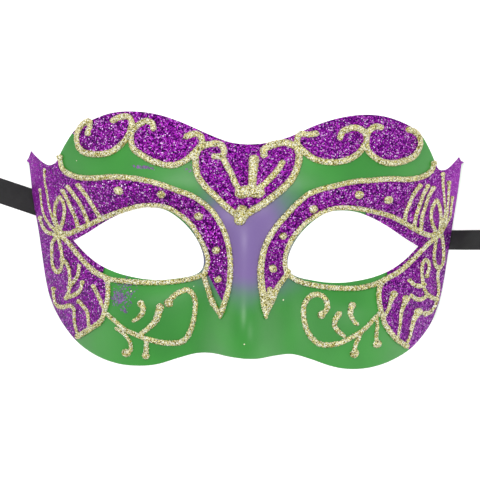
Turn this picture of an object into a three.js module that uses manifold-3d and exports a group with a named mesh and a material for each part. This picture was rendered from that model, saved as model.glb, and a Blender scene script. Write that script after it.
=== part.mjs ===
// A half mask for a masquerade: a thin moulded shell that rests on its two side rims, face up.
// Glitter coats its top band and the fans beside the eyes, raised glitter lines draw a heart,
// curls, eye frames and cheek scrolls on it, and two ribbon ties lie out to the sides.
// Millimetres, X to the right, Y to the forehead, Z out of the face.

import * as THREE from "three";
import { mergeVertices } from "three/addons/utils/BufferGeometryUtils.js";
import Module from "manifold-3d";

const wasm = await Module();
wasm.setup();

// Outline and wall
const halfWidth = 90;
const halfHeight = 52;
const wall = 1.6;
const squaresAcross = 220; // the drawing's squares in the half width
const squaresUp = 127; // and in the half height

// Form of the face
const faceDepth = 51; // between the rim and the flat of the face, at its middle
const foreheadDrop = 5; // how far it leans back at the top edge
const chinDrop = 7; // and at the bottom edge
const sideFall = 3; // power of the curve from the middle to the sides
const leftReach = 0.946 * halfWidth; // where the face meets the surface it rests on, at mid height
const leftLean = 0.11 * halfWidth; // how much wider that is at the top edge than at mid height
const rightReach = 0.934 * halfWidth; // the same two on the other side
const rightLean = 0.094 * halfWidth;
const noseHeight = 21;
const bridgeHalf = 8.5; // half width of the nose at the bridge
const nostrilHalf = 14.5; // and at its tip
const socketDepth = 6;
const browHeight = 3;
const cheekHeight = 3.5;

// Glitter
const seat = 0.3; // clearance between pieces that touch
const coat = 0.25; // thickness of a glitter field
const beadHeight = 0.9; // a raised line's height
const facetSlack = 0.17; // how far the shell's facets may stand off the true face
const dotWide = 3.1;
const dotHeight = 1.2;
const drawnStep = 0.023; // how much higher a line lies than the one drawn before it

// Ribbon ties
const ribbonWide = 10;
const ribbonThick = 0.5;
const archHeight = 1.9; // relief under the rim where a ribbon passes

// Fineness of the meshes
const cellAcross = 5.6; // width of a facet on the shell, on average
const cellUp = 6; // and its height
const noseFine = 0.68; // share of that width at the nose, where the facets are narrowest
const longStep = 5; // longest stretch between two sections of a line
const turnStep = 0.58; // radians that a line turns at most between sections
const edgeStep = 4.9; // between the points of an outline

const place = ([across, up]) => [across * halfWidth / squaresAcross, up * halfHeight / squaresUp];

// Form: height of the outer face over a point of the plan

const hill = (offset, half) => Math.exp(-((offset / half) ** 2));
const ease = (value) => {
  const t = Math.min(1, Math.max(0, value));
  return t * t * (3 - 2 * t);
};

function noseAt(x, y) {
  const v = y / halfHeight;
  const rise = 0.22 * ease((0.3 - v) / 0.3) + 0.78 * ease((0.08 - v) / 0.82);
  const under = Math.max(0, -0.76 - v);
  const half = bridgeHalf + (nostrilHalf - bridgeHalf) * ease((0.1 - v) / 0.9);
  return noseHeight * (rise - 5 * under * under) * hill(x, half);
}

// How far from the middle the face meets the surface, on the side that x is on
function rimAt(x, v) {
  return x < 0 ? leftReach + leftLean * v : rightReach + rightLean * v;
}

function faceAt(x, y) {
  const v = y / halfHeight;
  const across = Math.abs(x) / halfWidth;
  const reach = Math.abs(x) / rimAt(x, v);
  const lean = foreheadDrop * Math.max(0, v) ** 2 + chinDrop * Math.max(0, -v) ** 2;
  const socket = (((across - 0.48) / 0.33) ** 2 + ((v + 0.05) / 0.34) ** 2) ** 2;
  return (faceDepth - lean) * (1 - reach ** sideFall) + noseAt(x, y)
    - socketDepth * Math.exp(-socket)
    + browHeight * hill(across - 0.42, 0.34) * hill(v - 0.42, 0.2)
    + cheekHeight * hill(across - 0.56, 0.2) * hill(v + 0.6, 0.26);
}

// The point at a height over the outer face, measured square to it
function lifted(x, y, lift) {
  const probe = 0.05;
  const slopeX = (faceAt(x + probe, y) - faceAt(x - probe, y)) / (2 * probe);
  const slopeY = (faceAt(x, y + probe) - faceAt(x, y - probe)) / (2 * probe);
  const normal = new THREE.Vector3(-slopeX, -slopeY, 1).normalize();
  return new THREE.Vector3(x, y, faceAt(x, y)).addScaledVector(normal, lift);
}

// Solids

function solidOf(points, triangles) {
  const vertProperties = new Float32Array(points.flatMap((p) => [p.x, p.y, p.z]));
  const triVerts = new Uint32Array(triangles);
  return new wasm.Manifold(new wasm.Mesh({ numProp: 3, vertProperties, triVerts }));
}

function solidOfGeometry(geometry) {
  geometry.deleteAttribute("normal");
  geometry.deleteAttribute("uv");
  const merged = mergeVertices(geometry, 1e-4);
  return new wasm.Manifold(new wasm.Mesh({
    numProp: 3,
    vertProperties: new Float32Array(merged.attributes.position.array),
    triVerts: new Uint32Array(merged.index.array),
  }));
}

// A layer of the face between two lifts, over the whole plan
function layer(low, high) {
  const margin = 2;
  const columns = 2 * Math.ceil((halfWidth + margin) / cellAcross);
  const rows = 2 * Math.ceil((halfHeight + margin) / cellUp);
  const points = [];
  for (const lift of [low, high]) {
    for (let row = 0; row <= rows; row++) {
      for (let column = 0; column <= columns; column++) {
        const share = column / columns * 2 - 1;
        const x = share * (noseFine + (1 - noseFine) * share * share) * (halfWidth + margin);
        const y = (row / rows * 2 - 1) * (halfHeight + margin);
        points.push(lifted(x, y, lift));
      }
    }
  }
  const at = (level, row, column) => (level * (rows + 1) + row) * (columns + 1) + column;
  const triangles = [];
  for (let row = 0; row < rows; row++) {
    for (let column = 0; column < columns; column++) {
      const right = column >= columns / 2;
      for (const level of [0, 1]) {
        const [a, b] = [at(level, row, column), at(level, row, column + 1)];
        const [c, d] = [at(level, row + 1, column + 1), at(level, row + 1, column)];
        const up = right ? [a, b, c, a, c, d] : [a, b, d, b, c, d];
        triangles.push(...(level ? up : up.reverse()));
      }
    }
  }
  const rim = [];
  for (let column = 0; column < columns; column++) rim.push([0, column]);
  for (let row = 0; row < rows; row++) rim.push([row, columns]);
  for (let column = columns; column > 0; column--) rim.push([rows, column]);
  for (let row = rows; row > 0; row--) rim.push([row, 0]);
  rim.forEach(([row, column], i) => {
    const [nextRow, nextColumn] = rim[(i + 1) % rim.length];
    const [a, b] = [at(0, row, column), at(0, nextRow, nextColumn)];
    const [c, d] = [at(1, nextRow, nextColumn), at(1, row, column)];
    triangles.push(a, b, c, a, c, d);
  });
  return solidOf(points, triangles);
}

// An upright prism on a closed outline of the plan
function prism(points) {
  const shape = new THREE.Shape(points.map(([x, y]) => new THREE.Vector2(x, y)));
  const height = faceDepth + noseHeight + 20;
  const geometry = new THREE.ExtrudeGeometry(shape, { depth: height, bevelEnabled: false });
  return solidOfGeometry(geometry.translate(0, 0, -10));
}

// Smooth stretches between the corners of an outline, each a list of points of the drawing
function outlineOf(stretches, mirror = 1) {
  const points = stretches.flatMap((stretch) => {
    const knots = stretch.map((p) => new THREE.Vector2(...place(p)));
    if (knots.length < 3) return knots.slice(0, -1);
    const curve = new THREE.SplineCurve(knots);
    return curve.getSpacedPoints(Math.ceil(curve.getLength() / edgeStep)).slice(0, -1);
  });
  return points.map((p) => [mirror * p.x, p.y]);
}

// Each half of the outline, from the top of the middle round to the nose, drawn as on the right
const leftStretches = [
  [[0, 95.3], [18, 97.3], [40, 105.2], [68, 117], [92, 124.1], [116, 126.5], [138, 124.2], [159, 115.8],
    [172.4, 107.4], [180.8, 95.6], [186.5, 85], [188.4, 80.8]],
  [[188.4, 80.8], [190.8, 75.6], [194.6, 72.6], [198.7, 71.6], [204.5, 74.3], [211.6, 80.3], [216.8, 85.8]],
  [[216.8, 85.8], [219.6, 77.8]],
  [[219.6, 77.8], [221.4, 75.8]],
  [[221.4, 75.8], [218.8, 73.6]],
  [[218.8, 73.6], [216.7, 58], [214, 36.5], [208.4, 8], [204.2, -18], [199.9, -43], [194.9, -62],
    [184.4, -83.3], [167.4, -104.4], [147, -118.3], [125, -125.7], [104, -127.2], [86, -125.2], [66, -118.8],
    [48, -113.7], [32, -113.2], [14, -116.6], [0, -118.3]],
];

const rightStretches = [
  [[0, 95.3], [18, 97], [40.6, 103.2], [68.4, 115.8], [92, 123.4], [116, 127], [138, 125.3], [160, 117.7],
    [173.2, 108.2], [181, 96], [186, 85.6], [189.3, 77.8]],
  [[189.3, 77.8], [190.8, 75], [194, 73], [199, 73.8], [203, 76.6], [207.6, 81.6], [212.2, 86.9]],
  [[212.2, 86.9], [214.2, 83]],
  [[214.2, 83], [217.4, 81.4]],
  [[217.4, 81.4], [214.8, 79.6]],
  [[214.8, 79.6], [212.4, 58], [209.6, 36.9], [205.4, 8], [201.8, -18], [198.1, -42.8], [193.8, -61.7],
    [184.8, -83.5], [167.8, -104.7], [147, -118.2], [125, -125.5], [104, -127], [86, -124.1], [66, -117.5],
    [48, -113], [32, -114.5], [14, -118], [0, -118.3]],
];

const eyeStretches = [
  [[172.5, -3.5], [158, 5], [142, 15.5], [126, 24], [110, 29.7], [94, 31], [80, 28.3], [66, 19.4], [54, 7],
    [46, -6], [42, -19], [43.5, -30], [52, -36], [66, -39], [82, -41], [98, -40.8], [114, -38.4],
    [130, -34.2], [146, -27], [160, -16.5], [172.5, -3.5]],
];

const leftHalf = outlineOf(leftStretches, -1);
const nose = place(rightStretches.at(-1).at(-1));
const plan = prism([...leftHalf, nose, ...outlineOf(rightStretches).slice(1).reverse()]);
const eyes = [1, -1].map((side) => prism(outlineOf(eyeStretches, side)));

// Ribbon ties: each lies flat on the surface, passes under the rim and ends up the inner wall

const ribbonTable = [
  // up: the drawing's height where its middle crosses the rim; rises and twist are in degrees
  { name: "ribbon_left", side: -1, up: 35, rises: 17.6, twist: 0 },
  { name: "ribbon_right", side: 1, up: 3.5, rises: 1, twist: 31 },
];

// Out from the rim and up from the surface, chosen by hand, with the share of the twist
const ribbonRoute = [
  [-11.4, 11.4, 0], [-9.8, 9.3, 0], [-8.2, 7.1, 0], [-6.7, 5, 0], [-5.4, 3.1, 0], [-4.2, 1.75, 0],
  [-2.9, 0.8, 0], [-1.6, 0.35, 0], [0, 0.25, 0], [3, 0.25, 0.5], [6, 0.25, 0.9], [9, 0.25, 1],
  [13, 0.25, 1], [18, 0.25, 1], [24, 0.25, 1], [31, 0.25, 1], [39, 0.25, 1], [47, 0.25, 1],
];

function ribbonLine({ side, up, rises }) {
  const v = up / squaresUp;
  const start = new THREE.Vector2(side * rimAt(side, v), v * halfHeight);
  const angle = THREE.MathUtils.degToRad(rises);
  const out = new THREE.Vector2(side * Math.cos(angle), Math.sin(angle));
  const over = new THREE.Vector2(-out.y, out.x);
  const rim = new THREE.Vector2(side * (rimAt(side, 1) - rimAt(side, 0)) / halfHeight, 1);
  return { start, out, over, skew: -over.cross(rim) / out.cross(rim) };
}

function ribbonSolid(row) {
  const { start, out, over, skew } = ribbonLine(row);
  const last = ribbonRoute.length - 1;
  const points = ribbonRoute.flatMap(([along, up, share], i) => {
    const [before, after] = [ribbonRoute[Math.max(0, i - 1)], ribbonRoute[Math.min(last, i + 1)]];
    const slope = new THREE.Vector2(after[0] - before[0], after[1] - before[1]).normalize();
    const twist = THREE.MathUtils.degToRad(row.twist) * share;
    const corner = (edge, face) => {
      const across = edge * ribbonWide / 2;
      const thick = face * ribbonThick / 2;
      const reach = along - slope.y * thick + (i === last ? 0 : across * skew);
      const spot = start.clone().addScaledVector(out, reach)
        .addScaledVector(over, across * Math.cos(twist) - face * Math.sin(twist) * ribbonThick / 2);
      const high = up + slope.x * thick * Math.cos(twist) + (edge + 1) * ribbonWide / 2 * Math.sin(twist);
      return new THREE.Vector3(spot.x, spot.y, Math.max(0, high));
    };
    return [corner(-1, -1), corner(1, -1), corner(1, 1), corner(-1, 1)];
  });
  return tube(points, 4);
}

// A closed tube through rings of as many points each
function tube(points, sides) {
  const rings = points.length / sides;
  const triangles = [];
  for (let ring = 0; ring < rings - 1; ring++) {
    for (let i = 0; i < sides; i++) {
      const [a, b] = [ring * sides + i, ring * sides + (i + 1) % sides];
      triangles.push(a, b, b + sides, a, b + sides, a + sides);
    }
  }
  const end = (rings - 1) * sides;
  for (let i = 1; i < sides - 1; i++) triangles.push(0, i + 1, i, end, end + i, end + i + 1);
  const body = solidOf(points, triangles);
  if (body.volume() > 0) return body;
  return solidOf(points, triangles.reverse());
}

// The relief under the rim that a ribbon passes through
function ribbonArch(row) {
  const { start, out } = ribbonLine(row);
  const box = new THREE.BoxGeometry(14, ribbonWide + 4 * seat, 2 * archHeight);
  box.rotateZ(Math.atan2(out.y, out.x));
  return solidOfGeometry(box.translate(start.x, start.y, 0));
}

// Shell
const table = new THREE.BoxGeometry(4 * halfWidth, 4 * halfHeight, 4 * faceDepth);
const surface = solidOfGeometry(table.translate(0, 0, -2 * faceDepth));
const bareShell = layer(-wall, 0).intersect(plan).subtract(eyes[0]).subtract(eyes[1]).subtract(surface);
const shell = ribbonTable.reduce((body, row) => body.subtract(ribbonArch(row)), bareShell);

// Glitter fields, each a closed outline of the drawing that the mask's edge and eye holes cut

const fieldTable = [
  {
    name: "glitter_band_top", outline: [
      [-190, 104], [-175, 104], [-171, 98], [-168, 89], [-161, 84.5], [-150, 83], [-137, 85], [-127, 92],
      [-118, 98], [-113, 89], [-104, 82], [-92, 76], [-80, 73], [-70, 74], [-60, 79], [-53, 84], [-51, 70],
      [-48, 61], [-41, 52], [-30, 42], [-6, 21], [19, 38], [36, 52], [45, 62], [50, 74], [52, 92],
      [56, 89.5], [66, 82], [78, 79], [90, 79], [101, 82], [110, 88], [118, 97], [120, 91], [126, 85], [134, 80.5],
      [144, 79], [156, 81.5], [165, 86], [170, 92.5], [172.5, 100], [174, 108], [190, 108], [170, 140],
      [-170, 140],
    ],
  },
  {
    name: "glitter_field_left", outline: [
      [-188, 83], [-187, 75], [-184, 68], [-177, 63], [-165, 59.5], [-150, 59.5], [-135, 60.7], [-118, 60],
      [-103, 58], [-86, 54], [-70, 48.5], [-55, 43.5], [-43, 36], [-33, 27], [-25, 15], [-19, 1.5],
      [-15.5, -14], [-14.5, -32], [-16, -50], [-20, -65], [-24, -77], [-28, -68.5], [-33, -60],
      [-36, -50.5], [-41.5, -36], [-37, -23], [-39, -13], [-45, 0], [-54, 14], [-66, 25], [-79, 32],
      [-92, 34], [-104, 32.7], [-108, 12], [-130, -10], [-141, -27], [-143, -38], [-139, -41],
      [-136.5, -50], [-136.5, -60], [-139, -72], [-143, -83], [-155, -92], [-168, -101], [-175, -112],
      [-230, -60], [-230, 100], [-195, 90],
    ],
  },
  {
    name: "glitter_field_right", outline: [
      [187, 82], [185, 75], [180, 69], [171, 65], [158, 63], [143, 63.4], [125, 61.5], [107, 59.8],
      [90, 56], [75, 52], [62, 47], [50, 37], [38.5, 24.5], [29, 13], [20.5, -1.5], [16.5, -14],
      [14.5, -30], [15, -46], [18, -60], [21.5, -76], [24, -66], [27, -57], [31, -47], [37.5, -37.5],
      [40.5, -31], [39.5, -20], [41, -10], [45.5, 0], [52.5, 10], [62, 20], [74, 28], [85, 32.5],
      [97, 34], [110, 33.5], [119, 32], [121, 8], [134, -10], [140, -25], [143, -36],
      [138, -38.5], [133.5, -47], [133, -56], [135, -67], [140, -82], [150, -96], [163, -105],
      [175, -112], [230, -60], [230, 100], [195, 90],
    ],
  },
];

const coatLayer = layer(seat, seat + coat).intersect(plan).subtract(eyes[0]).subtract(eyes[1])
  .subtract(surface);

// Raised glitter lines. A route's points are squares of the drawing, wide is in millimetres,
// one width or several from start to end, and bead is the width of a drop at its end.

const topTrim = [
  { wide: 2, route: [[-159, 104], [-157, 112], [-158.5, 116], [-164, 113], [-169, 106], [-170, 98],
    [-167.5, 89.5], [-161, 84.5], [-150, 83], [-137, 85], [-127, 92], [-120, 100], [-116, 110],
    [-116, 117], [-120, 121], [-127, 120.5], [-134, 117]] },
  { wide: 2, route: [[-94, 110], [-95, 114.5], [-101, 117], [-109, 113], [-115, 106], [-116, 98],
    [-113, 89], [-104, 82], [-92, 76], [-80, 73], [-70, 74], [-60, 79], [-52, 87], [-46, 94.5],
    [-46, 101], [-50, 104.5], [-55, 104.5], [-61, 102]] },
  { wide: 2.1, route: [[-25, 82], [-23.5, 88], [-25.5, 93.5], [-31, 95.5], [-38, 94.5], [-45, 92.5],
    [-50, 87], [-51.5, 78], [-51, 70], [-48, 61], [-41, 52], [-30, 42], [-18, 31], [-6, 22]] },
  { wide: 2.3, route: [[-6, 22], [4, 28], [19, 38], [36, 52], [45, 62], [50, 74], [51.5, 85],
    [49, 92.5], [43, 96], [36, 97.5], [28, 96], [21, 93.5], [16.5, 90], [16.5, 85]] },
  { wide: [5.5, 7, 3.4], route: [[-6, 19], [-5.5, 23], [-4.5, 28]] },
  { wide: 2, route: [[-33, 82.5], [-25.4, 82], [-21, 74.5], [-16, 66], [-12, 57], [-7, 49]] },
  { wide: [3.3, 2.4], route: [[6.7, 80], [6, 70], [5.5, 60], [5, 50]] },
  { wide: 2, route: [[35, 77.5], [31, 70.5], [25, 63.5], [18, 56.5], [10, 50]] },
  { wide: 3.9, route: [[-6, 47], [3, 48.5], [12, 48]] },
  { wide: 2, route: [[68, 107], [60, 106], [54, 106.5], [50, 103.5], [50, 96], [56, 89.5], [66, 82],
    [78, 79], [90, 79], [101, 82], [110, 88], [117, 98], [118, 106], [114, 111], [107, 113.5],
    [100, 112.5], [94, 109], [92, 103.5]] },
  { wide: 2, route: [[132, 114.5], [128, 115.5], [123, 113], [119, 108], [118, 100], [120, 91],
    [126, 85], [134, 80.5], [144, 79], [156, 81.5], [165, 86], [170, 92.5], [172, 100], [170.5, 106],
    [166, 111], [160, 113]] },
];

const frameLeft = [
  { wide: [1.9, 1.9, 1.9, 1.9, 2.4], route: [[-187, 80], [-186, 74], [-183.5, 68], [-177, 63],
    [-165, 59.5], [-150, 59.5], [-135, 60.7], [-118, 60], [-103, 58], [-86, 54], [-70, 48.5],
    [-55, 43.5], [-43, 36], [-33, 27], [-25, 15], [-19, 1.5], [-15.5, -14], [-14.5, -32], [-16, -50],
    [-20, -65], [-24, -76]] },
  { wide: [2.2, 1.8], route: [[-23.4, -74.5], [-28, -68.5], [-33, -60], [-36, -50.5], [-39, -43],
    [-41, -36]] },
  { wide: 1.8, route: [[-188, 4], [-176, 4], [-166, 8.5], [-151, 16], [-136, 23], [-121, 28.8],
    [-106, 33], [-92, 34], [-79, 32], [-66, 25], [-54, 14], [-45, 0], [-39, -13], [-37, -23],
    [-40.5, -35]] },
  { wide: 1.8, route: [[-39, -34], [-50, -38.8], [-63, -41.8], [-80, -44], [-100, -44.6],
    [-120, -43.5], [-134, -42], [-138.5, -40]] },
  { wide: 1.9, route: [[-187, 3], [-178, -4], [-166, -18.5], [-152, -33], [-139, -41], [-136.5, -50],
    [-136.5, -60], [-139, -72], [-143, -83], [-155, -92], [-166, -99]] },
  { wide: 1.7, route: [[-200, 66], [-200.5, 56], [-199, 44.5], [-197, 33], [-194, 22], [-187.4, 6.6]] },
  { wide: 1.7, route: [[-206, 47], [-204.5, 34], [-202, 23], [-197, 14], [-188.6, 5.2]] },
  { wide: 1.6, route: [[-205.5, 19], [-203, 11], [-198, 5], [-187.8, 2.2]] },
  { wide: 1.6, route: [[-185.2, 5.6], [-190, 18], [-190.5, 30], [-186, 40], [-181.5, 31], [-182, 18],
    [-186.6, 4.2]] },
  { wide: 1.7, route: [[-183, 46], [-178.5, 38], [-174.5, 29], [-170.5, 21], [-167, 9]] },
  { wide: 1.7, route: [[-178, 50], [-172, 42.5], [-165.5, 33.5], [-160.5, 23.5], [-157, 14]] },
  { wide: 1.7, route: [[-168, 52], [-163, 46.5], [-156.5, 37.5], [-150.5, 28], [-145, 20]] },
  { wide: 1.6, route: [[-186.2, 3.6], [-192.5, -5], [-193, -15], [-192.5, -26], [-190, -33], [-186.5, -35],
    [-183.5, -31], [-182.5, -22], [-184, -12], [-187.4, 1.2]] },
  { wide: 1.6, route: [[-183, -22], [-178.5, -25.5], [-175.5, -33], [-174.5, -43], [-175, -53],
    [-178, -61]] },
  { wide: 1.6, route: [[-165.5, -29], [-166.5, -37.5], [-170, -44], [-175, -50]] },
  { wide: 1.6, route: [[-162, -45], [-163.5, -52], [-168.5, -57], [-177, -60]] },
  { wide: 1.6, route: [[-191, -52], [-190, -62], [-187, -68.5], [-181, -70], [-175, -68.5],
    [-170, -71.5], [-169.5, -78], [-168.5, -88], [-165, -98]] },
  { wide: 1.6, route: [[-165, -64], [-160, -69.5], [-156, -76], [-154.5, -91]] },
  { wide: 1.6, route: [[-151, -49], [-147, -55.5], [-143, -64], [-139.5, -72]] },
];

const frameRight = [
  { wide: [1.9, 1.9, 1.9, 2.2, 3.6], route: [[186, 80], [184.5, 74], [180, 69], [171, 65], [158, 63],
    [143, 63.4], [125, 61.5], [107, 59.8], [90, 56], [75, 52], [62, 47], [50, 37], [38.5, 24.5],
    [29, 13], [20.5, -1.5], [16.5, -14], [14.5, -30], [15.5, -46], [18.5, -60], [21.5, -75]] },
  { wide: [2.6, 1.8], route: [[22, -72], [24.5, -64], [28, -54], [32, -46], [37.5, -38.5],
    [42.2, -31]] },
  { wide: 1.8, route: [[193, 10], [184, 8], [174, 11], [158, 19.5], [143.5, 26.8], [124, 31.6],
    [110, 34], [97, 34.8], [85, 33.2], [73, 28.3], [61, 20.5], [51.5, 10.2], [44.5, 0], [40.3, -10],
    [38.5, -20], [39.3, -29], [42.6, -33.6]] },
  { wide: 1.8, route: [[40.6, -32.2], [47.5, -37.8], [56, -41.5], [66, -44], [80, -46], [96, -47],
    [112, -46.5], [124, -44], [132.5, -41], [138, -38]] },
  { wide: 1.9, route: [[191.2, 7.4], [182, 0], [169, -14], [154, -28.5], [138, -38.5], [133.5, -47],
    [133, -56], [135, -67], [140, -82], [150, -95], [161.5, -103]] },
  { wide: 1.7, route: [[172, 57], [166, 48.8], [162, 39.5], [158.5, 29.5], [157.5, 19.5]] },
  { wide: 1.7, route: [[180, 57], [175, 47], [171.5, 36], [168.5, 27], [167, 14.5]] },
  { wide: 1.7, route: [[185.5, 55], [180.5, 46], [177.5, 36], [174.5, 25], [174, 11]] },
  { wide: 1.6, route: [[190.4, 9], [185, 20], [184, 32], [189, 43], [193, 33], [193.5, 20], [191.6, 8.4]] },
  { wide: 1.7, route: [[195, 69], [195.5, 57], [197, 43], [197.5, 28], [192, 11.5]] },
  { wide: 1.7, route: [[202, 64], [201.5, 51], [200.5, 38], [199, 24], [194, 8.6]] },
  { wide: 1.6, route: [[206.5, 48], [205.5, 38], [202.5, 26], [192.6, 7.8]] },
  { wide: 1.6, route: [[193.6, 12.4], [196, 3], [197, -7], [196.5, -19], [193, -25], [189, -21.5],
    [187.5, -13.5], [188.5, -3], [190.8, 10.4]] },
  { wide: 1.6, route: [[180.5, -33], [182.5, -25.5], [182, -19], [179, -17], [176, -21], [175.5, -29],
    [176.5, -39], [179, -47.5], [183.5, -53], [191, -56]] },
  { wide: 1.6, route: [[163.5, -38], [168, -42], [173.5, -43], [178, -41]] },
  { wide: 1.6, route: [[165.5, -53], [170, -56], [176, -56], [182, -52]] },
  { wide: 1.6, bead: 2.4, route: [[193, -24], [191.5, -32], [192.5, -42], [192.5, -50], [191, -57],
    [188.5, -64], [184.5, -69], [180, -70.5]] },
  { wide: 1.6, route: [[148, -51.5], [145, -57.5], [142.5, -66], [138.5, -74]] },
  { wide: 1.6, route: [[160, -56], [157, -63.5], [155, -71.5], [154.5, -82], [152, -96]] },
  { wide: 1.6, route: [[172.5, -69], [168.5, -75.5], [166.5, -83], [165, -92], [161, -102.5]] },
];

const cheekLeft = [
  { wide: 2.1, bead: 3.4, route: [[-134, -79], [-124, -87.5], [-117, -92.5], [-110, -95.5], [-102, -98.5],
    [-94, -101], [-85, -103], [-76, -104], [-67, -103.5], [-60, -101], [-55, -94], [-51.5, -84],
    [-49.5, -72], [-49.5, -62], [-52, -55], [-57, -51], [-62, -51.5], [-68, -55], [-73, -59], [-76, -64]] },
  { wide: 1.9, bead: 3.3, route: [[-123, -88.5], [-119.5, -94.5], [-115.5, -101], [-113, -107.5],
    [-113.5, -112], [-117.5, -114.5]] },
  { wide: [2, 2.4], bead: 3.1, route: [[-98, -99.5], [-97.6, -109], [-97.9, -117]] },
  { wide: [1.8, 2.1, 2.7, 3.2], route: [[-105, -97.5], [-94.1, -87.8], [-88.6, -81.5], [-86.2, -74.5],
    [-84.6, -67]] },
];

const cheekRight = [
  { wide: 2.1, bead: 3.2, route: [[130, -74.5], [121.2, -85.4], [113.8, -91.1], [105.1, -96.3],
    [97.7, -100.2], [89, -102.6], [81.5, -103.2], [73.9, -101.8], [67.6, -96.9], [62.5, -89.5],
    [59.6, -80.8], [58.5, -73.3], [58.6, -65.8], [61.3, -58.9], [66.3, -54.4], [73.1, -53.1],
    [78.8, -56.1], [82, -61.7], [81.5, -67.9], [76.5, -73.2]] },
  { wide: 1.9, bead: 3.4, route: [[118, -86.5], [112.1, -99.9], [110.3, -106.2], [110, -111.4]] },
  { wide: 1.9, bead: 3.2, route: [[129.3, -75.8], [132.1, -83.3], [131.5, -92.1], [132.6, -101.6]] },
  { wide: [2.5, 2.2, 2, 1.8], route: [[94.1, -71.5], [90.4, -77.8], [89.9, -84], [93.7, -89.6],
    [100.5, -97.3]] },
];

const commaTable = [
  { name: "gold_comma_left", wide: [2.7, 2.3, 1.8, 1.5], route: [[-103.9, -64.4], [-101.3, -69.8],
    [-102.4, -74.8], [-106.7, -79.9], [-111, -82.4]] },
  { name: "gold_comma_right", wide: [2.8, 2.4, 1.8, 1.6], route: [[107, -62.6], [105.3, -69.4],
    [106.6, -75.6], [109.8, -80], [112.4, -82.4]] },
];

const dotTable = [
  { name: "gold_dot_left_1", at: [-127.3, 47.5] },
  { name: "gold_dot_left_2", at: [-85, 44.4] },
  { name: "gold_dot_left_3", at: [-47.4, 23.2] },
  { name: "gold_dot_left_4", at: [-28.8, -11] },
  { name: "gold_dot_left_5", at: [-26.4, -40.4] },
  { name: "gold_dot_right_1", at: [140.8, 42.8] },
  { name: "gold_dot_right_2", at: [111.7, 47.4] },
  { name: "gold_dot_right_3", at: [66.5, 32.6] },
  { name: "gold_dot_right_4", at: [36.4, 4.6] },
  { name: "gold_dot_right_5", at: [26.5, -28.6] },
];

// Sections are close where the line turns and further apart where it runs straight
function sectionsOf(route) {
  const curve = new THREE.CatmullRomCurve3(
    route.map((p) => new THREE.Vector3(...place(p), 0)), false, "centripetal");
  const fine = Math.ceil(curve.getLength() / 0.5);
  const spots = curve.getSpacedPoints(fine);
  const ways = spots.map((_, i) => {
    const [a, b] = [spots[Math.max(0, i - 1)], spots[Math.min(fine, i + 1)]];
    return new THREE.Vector2(b.x - a.x, b.y - a.y).normalize();
  });
  const kept = [0];
  for (let i = 1; i < fine; i++) {
    const last = kept[kept.length - 1];
    const turned = Math.acos(Math.min(1, ways[i].dot(ways[last])));
    const far = (i - last) * curve.getLength() / fine;
    const left = (fine - i) * curve.getLength() / fine;
    if ((far >= longStep || turned >= turnStep) && left > 1.2) kept.push(i);
  }
  kept.push(fine);
  return kept.map((i) => ({ x: spots[i].x, y: spots[i].y, way: ways[i], share: i / fine }));
}

function widthAt(wide, share) {
  if (!Array.isArray(wide)) return wide;
  const spot = share * (wide.length - 1);
  const low = Math.min(wide.length - 2, Math.floor(spot));
  return wide[low] + (wide[low + 1] - wide[low]) * (spot - low);
}

// A raised line with a flat base and a ridge
function lineSolid({ wide, route }, lift) {
  const points = sectionsOf(route).flatMap(({ x, y, way, share }) => {
    const half = widthAt(wide, share) / 2 * (share === 0 || share === 1 ? 0.6 : 1);
    const corner = (offset, height) => lifted(x - way.y * offset, y + way.x * offset, height);
    return [corner(half, lift), corner(-half, lift), corner(0, lift + beadHeight)];
  });
  return tube(points, 3);
}

// A drop with a flat base and a narrower top
function dropSolid([across, up], wide, height, lift) {
  const sides = 8;
  const [x, y] = place([across, up]);
  const rings = [[1, 0], [0.55, 1]];
  const points = rings.flatMap(([share, rise]) => Array.from({ length: sides }, (_, i) => {
    const angle = i / sides * 2 * Math.PI;
    const reach = share * wide / 2;
    return lifted(x + reach * Math.cos(angle), y + reach * Math.sin(angle), lift + rise * height);
  }));
  return tube(points, sides);
}

// Lines that touch, as one solid. Each is drawn a little higher than the last, so that no faces coincide.
function trimSolid(rows, lift) {
  const bodies = rows.flatMap((row, i) => {
    const height = lift + (i % 5) * drawnStep;
    const end = row.route[row.route.length - 1];
    const drop = row.bead ? [dropSolid(end, row.bead, beadHeight, height + drawnStep / 2)] : [];
    return [lineSolid(row, height), ...drop];
  });
  return bodies.reduce((whole, body) => whole.add(body));
}

// Finishes
const finish = (color, roughness, metalness) =>
  new THREE.MeshStandardMaterial({ color, roughness, metalness });
const greenPaint = finish(0x4aa048, 0.42, 0);
const purpleGlitter = finish(0x7a2a9a, 0.35, 0.3);
const goldGlitter = finish(0xd2c684, 0.35, 0.5);
const blackSatin = finish(0x2b2b2d, 0.6, 0);

// Assembly
const group = new THREE.Group();

function addPiece(name, body, material) {
  const { vertProperties, triVerts } = body.getMesh();
  const geometry = new THREE.BufferGeometry();
  geometry.setAttribute("position", new THREE.BufferAttribute(new Float32Array(vertProperties), 3));
  geometry.setIndex(new THREE.BufferAttribute(new Uint32Array(triVerts), 1));
  const piece = new THREE.Mesh(geometry, material);
  piece.name = name;
  group.add(piece);
}

const overShell = seat + facetSlack;
const overCoat = seat + coat + overShell;

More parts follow.
